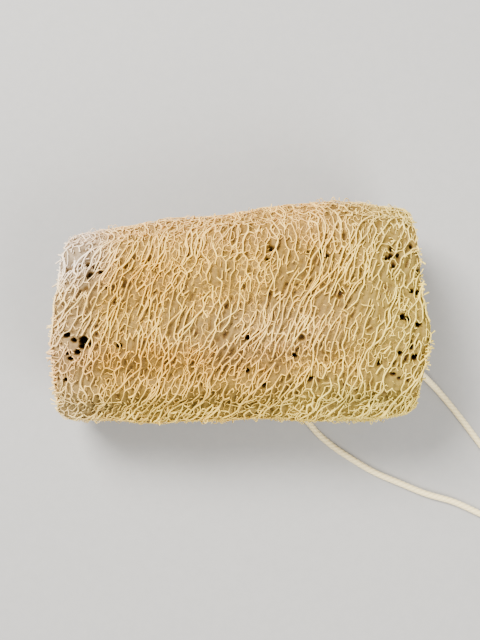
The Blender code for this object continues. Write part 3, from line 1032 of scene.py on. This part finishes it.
strong_samples = np.concatenate(strong_samples)
strong_tree = tree_of(strong_samples)
fine_samples = np.concatenate(fine_samples)
fine_tree = tree_of(fine_samples)
upper_ways = np.linspace(0, upper_share * girth, upper_rows, endpoint=False)
body_ways = np.concatenate([upper_ways, np.linspace(upper_share * girth, girth, under_rows, endpoint=False)])
body_parts = np.linspace(0, 1, body_columns + 1)
nominal = cuts[0][0] + (cuts[1][0] - cuts[0][0]) * body_parts
grid_x, grid_way = np.meshgrid(nominal, body_ways, indexing="ij")
grid_y = skin(grid_x, grid_way, np.zeros(grid_x.shape))[0][..., 1]
grid_x = cut_place(0, grid_y) + (cut_place(1, grid_y) - cut_place(0, grid_y)) * body_parts[:, None]


def nearest_strands(found, samples):
    """Distance from each grid point to the nearest strand of a net, and the height of the net there."""
    gap = np.empty(grid_x.size)
    height = np.empty(grid_x.size)
    for i, spot in enumerate(zip(grid_x.ravel().tolist(), grid_way.ravel().tolist())):
        near = found.find_n((*spot, 0.0), 3)
        weights = [1 / (one[2] + 0.15) ** 2 for one in near]
        height[i] = sum(weight * samples[one[1], 2] for weight, one in zip(weights, near)) / sum(weights)
        gap[i] = near[0][2]
    return gap.reshape(grid_x.shape), height.reshape(grid_x.shape)


fine_gap, fine_height = nearest_strands(fine_tree, fine_samples)
strong_gap, strong_height = nearest_strands(strong_tree, strong_samples)
grid_flat = fine_plane(grid_x, grid_way).reshape(-1, 2).tolist()
sag = cell_sag[[cell_tree.find((*spot, 0.0))[1] for spot in grid_flat]].reshape(grid_x.shape)
plain_grid = skin(grid_x, grid_way, np.zeros(grid_x.shape))[0]
cord_exit = np.vstack([held_line[-14:], loop_line[:4]])
from_cord = np.linalg.norm(plain_grid[:, :, None] - cord_exit[None, None], axis=-1).min(-1)
at_end = np.minimum(grid_x - cut_place(0, grid_y), cut_place(1, grid_y) - grid_x)
low_web = fine_height - web_under - sag * smooth_step((fine_gap - web_edge) / web_reach)
low_web -= bare_sag * bare(plain_grid) * smooth_step(strong_gap / bare_reach)
high_web = strong_height - web_drop - web_slope * np.maximum(strong_gap - web_half_ridge, 0)
body_lift = web_softness * np.logaddexp(low_web / web_softness, high_web / web_softness)
body_lift -= hole_depth * (1 - smooth_step((from_hole(plain_grid) + hole_rim) / hole_slope))
body_lift -= hole_depth * (1 - smooth_step((from_cord - cord_way) / cord_way))
body_lift *= edge_relief + (1 - edge_relief) * smooth_step(at_end / edge_fade)
body_points, _ = skin(grid_x, grid_way, body_lift, 0.25)
rows = np.arange(grid_x.size).reshape(grid_x.shape)
after = np.roll(rows, -1, axis=1)
sleeve = np.stack([rows[:-1], after[:-1], after[1:], rows[1:]], -1).reshape(-1, 4)


def chamber_section(x):
    """Half width, half height and shift that a seed chamber follows: less tapered than the fruit."""
    return (m + chamber_taper * (here - m) for m, here in zip(station(np.zeros(1)), station(x)))


def chamber_wall(number, x, turn, swell):
    """Points on the wall of a seed chamber at an angle round it."""
    heading, distance, along, across = chambers[number]
    wide, high, shift = chamber_section(x)
    out = distance + along * swell * np.cos(turn)
    side = across * swell * np.sin(turn) * (1 + chamber_flare * np.cos(turn))
    y = out * np.cos(heading) - side * np.sin(heading)
    z = out * np.sin(heading) + side * np.cos(heading)
    return np.stack([x, shift + wide * y, high - sink + high * z], -1)


def lumpy_wall(number, x, turn, inset=0.0):
    """The same wall with its ruffles and lumps, and the height of those lumps."""
    smooth_wall = chamber_wall(number, x, turn, 1.0)
    lumps = sum(high * slow_noise(smooth_wall, length, seed + number) for high, length, seed in chamber_lumps)
    ruffle = chamber_ruffle * np.sin(2 * math.pi * x / chamber_ruffle_length)
    return chamber_wall(number, x, turn, 1 + ruffle + lumps - inset), lumps


def chamber_share(x, y, z):
    """How far out a place is in the nearest seed chamber: 0 in its middle, 1 at its wall."""
    wide, high, shift = chamber_section(x)
    across_share, up_share = (y - shift) / wide, (z - high + sink) / high
    least = np.full(np.shape(y), 9.0)
    for heading, distance, along, across in chambers:
        out = across_share * np.cos(heading) + up_share * np.sin(heading)
        side = up_share * np.cos(heading) - across_share * np.sin(heading)
        a = (out - distance) / along
        b = side / (across * (1 + chamber_flare * np.clip(a, -1, 1)))
        least = np.minimum(least, np.hypot(a, b))
    return least


body_parts_points = [body_points.reshape(-1, 3)]
body_parts_depths = [-body_lift.ravel()]
total = grid_x.size
walls = []
wall_rings = []
chamber_turns = 2 * math.pi * np.arange(chamber_rows) / chamber_rows
chamber_parts = np.linspace(0, 1, chamber_columns + 1)
nominal = cuts[0][0] + (cuts[1][0] - cuts[0][0]) * chamber_parts
for number in range(len(chambers)):
    x, turn = np.meshgrid(nominal, chamber_turns, indexing="ij")
    y = chamber_wall(number, x, turn, 1.0)[..., 1]
    x = cut_place(0, y) + (cut_place(1, y) - cut_place(0, y)) * chamber_parts[:, None]
    wall, lumps = lumpy_wall(number, x, turn)
    ring = total + np.arange(x.size).reshape(x.shape)
    ring_after = np.roll(ring, -1, axis=1)
    walls.append(np.stack([ring[:-1], ring[1:], ring_after[1:], ring_after[:-1]], -1).reshape(-1, 4))
    wall_rings.append(ring)
    body_parts_points.append(wall.reshape(-1, 3))
    body_parts_depths.append(np.full(x.size, wall_shade_depth) + wall_lump_shade_depth * lumps.ravel())
    total += x.size

# On the cut ends the tissue lies in pits between the veins that run across the fruit.
end_mesh_width = 2.9
end_net_within = 0.985
end_within = 0.955
end_off_chamber = 1.10
end_point_gap = 0.85
end_jitter = 0.22
end_pit_rim = 0.25
end_pit_depth = 1.9
end_pit_change = 1.1
end_pit_reach = 1.2


def end_reach(at, spots):
    """How far out a place on a cut end is: 1 on the outline."""
    wide, high, shift = station(np.full(len(spots), at))
    across = np.abs((spots[:, 0] - shift) / wide) ** section_power
    up = np.abs((spots[:, 1] - high + sink) / high) ** section_power
    return (across + up) ** (1 / section_power)


def as_it_is(x, y):
    return np.stack([np.asarray(x, float), np.asarray(y, float)], -1)


def enclosed(spots, outline):
    """Whether each spot lies inside a closed outline."""
    nexts = np.roll(outline, -1, axis=0)
    over = (outline[:, 1] > spots[:, None, 1]) != (nexts[:, 1] > spots[:, None, 1])
    rise = np.where(nexts[:, 1] == outline[:, 1], 1e-9, nexts[:, 1] - outline[:, 1])
    crossing = outline[:, 0] + (spots[:, None, 1] - outline[:, 1]) * (nexts[:, 0] - outline[:, 0]) / rise
    return (over & (spots[:, None, 0] < crossing)).sum(1) % 2 == 1


end_faces = []
end_nets = []
for end, (at, *_) in enumerate(cuts):
    outward = 2 * end - 1
    end_draw = np.random.default_rng(40 + end)
    low, high = body_points[-end].min(0)[1:] - 1, body_points[-end].max(0)[1:] + 1
    end_count = int((high - low).prod() / (0.866 * end_mesh_width**2))
    starts, ends = strands_between(spread_out(end_draw, end_count, low, high, as_it_is, 5), as_it_is)
    inside = np.ones(len(starts), bool)
    for spots in (starts, ends):
        inside &= end_reach(at, spots) < end_net_within
        inside &= chamber_share(np.full(len(spots), at), spots[:, 0], spots[:, 1]) > 1.0
    starts, ends = starts[inside], ends[inside]
    end_nets.append((starts, ends))
    net_spots = starts[:, None] + (ends - starts)[:, None] * np.linspace(0, 1, 6)[None, :, None]
    end_tree = KDTree(6 * len(starts))
    for spot in net_spots.reshape(-1, 2).tolist():
        end_tree.insert((*spot, 0.0), 0)
    end_tree.balance()
    grid = np.stack(np.meshgrid(*(np.arange(lo, hi, end_point_gap) for lo, hi in zip(low, high))), -1)
    grid = grid.reshape(-1, 2) + end_draw.uniform(-end_jitter, end_jitter, (grid.size // 2, 2))
    within = end_reach(at, grid) < end_within
    within &= chamber_share(np.full(len(grid), at), grid[:, 0], grid[:, 1]) > end_off_chamber
    grid = grid[within]
    rings = [rows[-end]] + [ring[-end] for ring in wall_rings]
    so_far = np.concatenate(body_parts_points)
    outlines = [so_far[ring][:, 1:] for ring in rings]
    links = []
    begun = 0
    for ring in rings:
        links += [(begun + i, begun + (i + 1) % len(ring)) for i in range(len(ring))]
        begun += len(ring)
    flats = np.vstack([*outlines, grid])
    _, _, triangles, origins, _, _ = delaunay_2d_cdt([tuple(p) for p in flats], links, [], 1, 1e-7)
    triangles = np.array([origin[0] for origin in origins])[np.array(triangles)]
    middle = flats[triangles].mean(1)
    solid = ~np.any([enclosed(middle, outline) for outline in outlines[1:]], axis=0)
    gaps = np.array([end_tree.find((*spot, 0.0))[2] for spot in grid.tolist()])
    unevenness = slow_noise(np.column_stack([grid, np.zeros(len(grid))]), 9, 60 + end)
    pit = end_pit_depth + end_pit_change * unevenness
    pit = end_pit_rim + pit * smooth_step(gaps / end_pit_reach)
    body_parts_points.append(np.column_stack([cut_place(end, grid[:, 0]) - outward * pit, grid]))
    body_parts_depths.append(pit)
    numbers = np.concatenate([*rings, total + np.arange(len(grid))])[triangles[solid]]
    end_faces.append(numbers if outward > 0 else numbers[:, ::-1])
    total += len(grid)

body_all = np.concatenate(body_parts_points)
body_depth = np.concatenate(body_parts_depths)

# Dried tissue is a golden tan web, thin enough to glow where it is near the light; its colour is darkened to
# brown and near black with depth, as painted shade in the pits.
# Fine threads 0.1 mm thick cross it, 1.5 to 2 mm apart. They are drawn about 0.3 mm thick, so that they
# show. The bare patches are smoother and more papery.
tissue_cloud = 6.25
tissue_ripple = 2.38
ripple_reach = 1.4
thread_gaps = (1.9, 1.5, 1.5)
thread_height = 0.2
tissue = bpy.data.materials.new("golden_loofah_tissue")
tissue.use_nodes = True
tree = tissue.node_tree
shader = tree.nodes["Principled BSDF"]
where = node(tree, "ShaderNodeTexCoord")
sunk = node(tree, "ShaderNodeAttribute", {"attribute_name": "depth"})
cloud = node(
    tree,
    "ShaderNodeTexNoise",
    None,
    {"Vector": where.outputs["Object"], "Scale": 1 / (tissue_cloud * MM), "Detail": 3.0},
)
ripple = node(
    tree,
    "ShaderNodeTexNoise",
    None,
    {"Vector": where.outputs["Object"], "Scale": 1 / (tissue_ripple * MM), "Detail": 1.0},
)
rippled = node(
    tree,
    "ShaderNodeVectorMath",
    {"operation": "MULTIPLY_ADD"},
    {0: ripple.outputs["Color"], 1: (ripple_reach * MM,) * 3, 2: where.outputs["Object"]},
)
thread_scale = node(
    tree,
    "ShaderNodeMapping",
    {"vector_type": "POINT"},
    {"Vector": rippled.outputs[0], "Scale": [1 / (gap * MM) for gap in thread_gaps]},
)
threads = node(
    tree,
    "ShaderNodeTexVoronoi",
    {"feature": "DISTANCE_TO_EDGE"},
    {"Vector": thread_scale.outputs[0], "Scale": 1.0},
)
webbed = node(
    tree,
    "ShaderNodeMix",
    {"data_type": "RGBA"},
    {0: cloud.outputs["Fac"], 6: linear("#573F09"), 7: linear("#7A5D20")},
)
threaded = node(
    tree,
    "ShaderNodeMapRange",
    None,
    {"Value": threads.outputs["Distance"], "From Min": 0.02, "From Max": 0.10, "To Min": 0.6, "To Max": 0.0},
)
bareness = node(tree, "ShaderNodeAttribute", {"attribute_name": "bare"})
covered = node(
    tree,
    "ShaderNodeMath",
    {"operation": "MULTIPLY_ADD"},
    {0: bareness.outputs["Fac"], 1: -0.75, 2: 1.0},
)
showing = node(
    tree,
    "ShaderNodeMath",
    {"operation": "MULTIPLY"},
    {0: threaded.outputs[0], 1: covered.outputs[0]},
)
paler = node(tree, "ShaderNodeMath", {"operation": "MULTIPLY"}, {0: bareness.outputs["Fac"], 1: 0.5})
papery = node(
    tree,
    "ShaderNodeMix",
    {"data_type": "RGBA"},
    {0: paler.outputs[0], 6: webbed.outputs[2], 7: linear("#785E26")},
)
colour = node(
    tree,
    "ShaderNodeMix",
    {"data_type": "RGBA"},
    {0: showing.outputs[0], 6: papery.outputs[2], 7: linear("#BE9234")},
)
# The same patches on the tissue: partly its own colour and partly painted light, with the painted highlight
# at the upper left.
tissue_tints = (
    ("amber", "#64420A", 0.6),
    ("pale_and_painted_highlight", "#94846E", 0.75),
    ("rosy", "#8A6430", 0.45),
    ("green", "#84762C", 0.5),
)
tissue_tint_and_painted_shade = tinted(tree, colour, tissue_tints)
# Painted shade: the tissue darkens to brown from 1 mm deep and to near black from 2.2 mm, for the shade in
# its pits, holes and seed chambers.
for start, full, shade in ((1.0, 2.4, "#553A0C"), (2.2, 4.8, "#1A1004")):
    share = node(
        tree,
        "ShaderNodeMapRange",
        {"interpolation_type": "SMOOTHSTEP"},
        {"Value": sunk.outputs["Fac"], "From Min": start, "From Max": full, "To Min": 0.0, "To Max": 1.0},
    )
    tissue_tint_and_painted_shade = node(
        tree,
        "ShaderNodeMix",
        {"data_type": "RGBA"},
        {0: share.outputs[0], 6: tissue_tint_and_painted_shade.outputs[2], 7: linear(shade)},
    )
crinkled = node(
    tree,
    "ShaderNodeBump",
    None,
    {"Strength": 0.6, "Distance": thread_height * MM, "Height": showing.outputs[0]},
)
tree.links.new(tissue_tint_and_painted_shade.outputs[2], shader.inputs["Base Color"])
tree.links.new(crinkled.outputs[0], shader.inputs["Normal"])
shader.inputs["Roughness"].default_value = 0.7
shader.inputs["IOR"].default_value = 1.45
shader.inputs["Specular IOR Level"].default_value = 0.3
body_values = {"depth": body_depth, "bare": bare(body_all), **tints_and_painted_light(body_all)}
sponge_piece("web_tissue", tissue, (body_all, [sleeve, *walls, *end_faces], body_values))

# The cut ends. The veins that cross the fruit show as a net over the cut, and the knife has left the ones
# that run along it as short stubs.
end_turn = 0.4
end_joint_out = (-0.1, 0.3)
end_radii = (0.22, 0.40)
end_missing = 0.06
end_flare = 0.3
stub_count = 460
stub_within = 0.975
stub_off_chamber = 1.02
stub_root = (-1.6, -0.4)
stub_reach = (0.2, 2.6)
stub_lean = 0.45
stub_radii = (0.18, 0.38)


def turned_ends(draw, starts, ends, turn):
    """Directions at both ends of strands, each turned a little off the straight line between them."""
    heading = unit(ends - starts)
    square = np.stack([-heading[:, 1], heading[:, 0]], -1)
    return [unit(heading + draw.normal(0, turn, (len(starts), 1)) * square) for _ in range(2)]


end_shells = []
for end, (starts, ends) in enumerate(end_nets):
    at = cuts[end][0]
    outward = 2 * end - 1
    end_draw = np.random.default_rng(50 + end)
    lengths = np.linalg.norm(ends - starts, axis=-1)
    count = len(starts)
    starting, ending = turned_ends(end_draw, starts, ends, end_turn)
    start_joint, end_joint = joint_numbers(starts, ends, 1e6)
    joint_out = end_draw.normal(*end_joint_out, 2 * count)
    thickness = end_draw.uniform(*end_radii, count)
    tones = end_draw.uniform(0.1, 1, count)
    for which, parts in step_classes(lengths, end_draw.uniform(size=count) > end_missing):
        plane = laid(starts[which], ends[which], starting[which], ending[which], parts)
        joints = joint_out[start_joint[which], None], joint_out[end_joint[which], None]
        x = cut_place(end, plane[..., 0]) + outward * risen(parts, *joints, 0)
        lines = np.concatenate([x[..., None], plane], -1)
        reach = thickness[which, None] * flared(parts, lengths[which], end_flare)
        lines[..., 2] = np.maximum(lines[..., 2], reach)
        out = np.zeros_like(lines)
        out[..., 0] = outward
        free = clear_of_cord(lines)
        end_shells.append(strand_shell(lines[free], reach[free], out[free], 4, tones[which][free]))
    low, high = np.vstack([starts, ends]).min(0), np.vstack([starts, ends]).max(0)
    spots = end_draw.uniform(low, high, (4 * stub_count, 2))
    inside = end_reach(at, spots) < stub_within
    inside &= chamber_share(np.full(len(spots), at), spots[:, 0], spots[:, 1]) > stub_off_chamber
    spots = spots[inside][:stub_count]
    count = len(spots)
    lean = end_draw.normal(0, stub_lean, (count, 2))
    tips = stub_reach[0] + (stub_reach[1] - stub_reach[0]) * end_draw.uniform(0, 1, count) ** 2
    stand = np.stack([*(np.full(count, root) for root in stub_root), tips], 1)
    lines = np.empty((count, 3, 3))
    lines[..., 0] = cut_place(end, spots[:, :1]) + outward * stand
    lines[..., 1:] = spots[:, None] + lean[:, None] * stand[..., None]
    reach = end_draw.uniform(*stub_radii, count)[:, None].repeat(3, 1)
    lines[..., 2] = np.maximum(lines[..., 2], reach)
    out = np.zeros_like(lines)
    out[..., 2] = 1
    free = clear_of_cord(lines)
    tones = end_draw.uniform(0.4, 1, count)
    end_shells.append(strand_shell(lines[free], reach[free], out[free], 5, tones[free]))
sponge_piece("cut_end_fibres", cream_fibre, *end_shells)

# The seed chambers' lining. A looser net of veins lines each chamber, and shows inside its two mouths.
lining_depth = 24.0
lining_scale = 15.5
lining_mesh_width = 3.6
lining_turn = 0.4
lining_radii = (0.18, 0.34)
lining_missing = 0.08
lining_inset = 0.02
lining_flare = 0.3
lining_shells = []
for number in range(len(chambers)):
    for end in (0, 1):
        lining_draw = np.random.default_rng(70 + 2 * number + end)
        mouth = cuts[end][0]
        inner = mouth - (2 * end - 1) * lining_depth
        low = (min(mouth, inner), 0)
        high = (max(mouth, inner), 2 * math.pi * lining_scale)
        count = int(lining_depth * high[1] / (0.866 * lining_mesh_width**2))
        spots = spread_out(lining_draw, count, low, high, as_it_is, 5, high[1])
        starts, ends = strands_between(spots, as_it_is, high[1])
        lengths = np.linalg.norm(ends - starts, axis=-1)
        count = len(starts)
        starting, ending = turned_ends(lining_draw, starts, ends, lining_turn)
        thickness = lining_draw.uniform(*lining_radii, count)
        tones = lining_draw.uniform(0, 0.9, count)
        for which, parts in step_classes(lengths, lining_draw.uniform(size=count) > lining_missing):
            plane = laid(starts[which], ends[which], starting[which], ending[which], parts)
            turn = plane[..., 1] / lining_scale
            y = chamber_wall(number, plane[..., 0], turn, 1.0)[..., 1]
            x = plane[..., 0] + cut_place(end, y) - mouth
            lines, _ = lumpy_wall(number, x, turn, lining_inset)
            out = unit(chamber_wall(number, x, turn, 0.0) - lines)
            reach = thickness[which, None] * flared(parts, lengths[which], lining_flare)
            free = clear_of_cord(lines)
            lining_shells.append(strand_shell(lines[free], reach[free], out[free], 3, tones[which][free]))
sponge_piece("chamber_lining", straw_fibre, *lining_shells)

# Stray fibres. Veins torn loose when the skin was peeled stand off the sponge in small loops and ends,
# most of them along the two long sides.
stray_count = 900
stray_middle = (0.02, 0.11)
stray_anywhere = 0.5
stray_near = 0.22
stray_near_middle = (0.492, 0.018)
stray_span = (1.6, 4.2)
stray_turn = 0.9
stray_peak = (0.5, 2.2)
stray_torn = 0.4
stray_radii = (0.12, 0.22)
loose_past_cut = 0.3


def directed(angle):
    return np.stack([np.cos(angle), np.sin(angle)], -1)


def loose_shell(starts, ends, bend, lift, reach, tones):
    """Shell of loose fibres that lie on the sponge or stand off it, kept to about its cut ends."""
    parts = np.linspace(0, 1, lift.shape[1])[None].repeat(len(starts), 0)
    plane = laid(starts, ends, bend, bend, parts)
    x, way = plane[..., 0], plane[..., 1]
    y = skin(x, way, np.zeros(x.shape))[0][..., 1]
    x = np.clip(x, cut_place(0, y) - loose_past_cut, cut_place(1, y) + loose_past_cut)
    lines, out = skin(x, way, lift, reach)
    free = clear_of_cord(lines)
    return strand_shell(lines[free], reach[free], out[free], 3, tones[free])


stray_draw = np.random.default_rng(90)
x = stray_draw.uniform(cuts[0][0] + 1, cuts[1][0] - 1, stray_count)
way = (stray_draw.normal(*stray_middle, stray_count) * girth) % girth
anywhere = stray_draw.uniform(size=stray_count) < stray_anywhere
way[anywhere] = stray_draw.uniform(0, girth, anywhere.sum())
near_side = stray_draw.uniform(size=stray_count) < stray_near
way[near_side] = stray_draw.normal(*stray_near_middle, near_side.sum()) * girth
starts = np.stack([x, way], -1)
angle = stray_draw.uniform(0, 2 * math.pi, stray_count)
ends = starts + stray_draw.uniform(*stray_span, (stray_count, 1)) * directed(angle)
bend = directed(angle + stray_draw.normal(0, stray_turn, stray_count))
parts = np.linspace(0, 1, 8)[None]
peak = stray_draw.uniform(*stray_peak, (stray_count, 1))
torn = stray_draw.uniform(size=(stray_count, 1)) < stray_torn
lift = peak * np.where(torn, parts**1.3, np.sin(math.pi * parts)) + 0.1
reach = stray_draw.uniform(*stray_radii, (stray_count, 1)) * np.where(torn, 1 - 0.5 * parts, 1)
tones = stray_draw.uniform(0.3, 1, stray_count)
stray_shell = loose_shell(starts, ends, bend, lift, reach, tones)

# Matted threads lie along both long sides, where the skin was peeled off the fruit in strips.
matted_count = 1300
matted_spread = 0.038
matted_middles = (0.004, 0.492)
matted_angle = 0.38
matted_far_lean = 0.25
matted_span = (2.5, 8.0)
matted_turn = 0.6
matted_lift = (0.1, 0.8)
matted_radii = (0.10, 0.19)
x = stray_draw.uniform(cuts[0][0], cuts[1][0], matted_count)
way = stray_draw.normal(stray_draw.choice(matted_middles, matted_count), matted_spread) * girth
angle = stray_draw.normal(0, matted_angle, matted_count)
angle -= matted_far_lean * (np.cos(2 * math.pi * way / girth) > 0)
starts = np.stack([x, way], -1)
ends = starts + stray_draw.uniform(*matted_span, matted_count)[:, None] * directed(angle)
bend = directed(angle + stray_draw.normal(0, matted_turn, matted_count))
parts = np.linspace(0, 1, 6)[None]
lift = stray_draw.uniform(*matted_lift, (matted_count, 1)) * (0.4 + 0.6 * np.sin(math.pi * parts))
reach = stray_draw.uniform(*matted_radii, (matted_count, 1)).repeat(6, 1)
tones = stray_draw.uniform(0, 0.8, matted_count)
matted_shell = loose_shell(starts, ends, bend, lift, reach, tones)
sponge_piece("stray_fibres", cream_fibre, stray_shell, matted_shell)
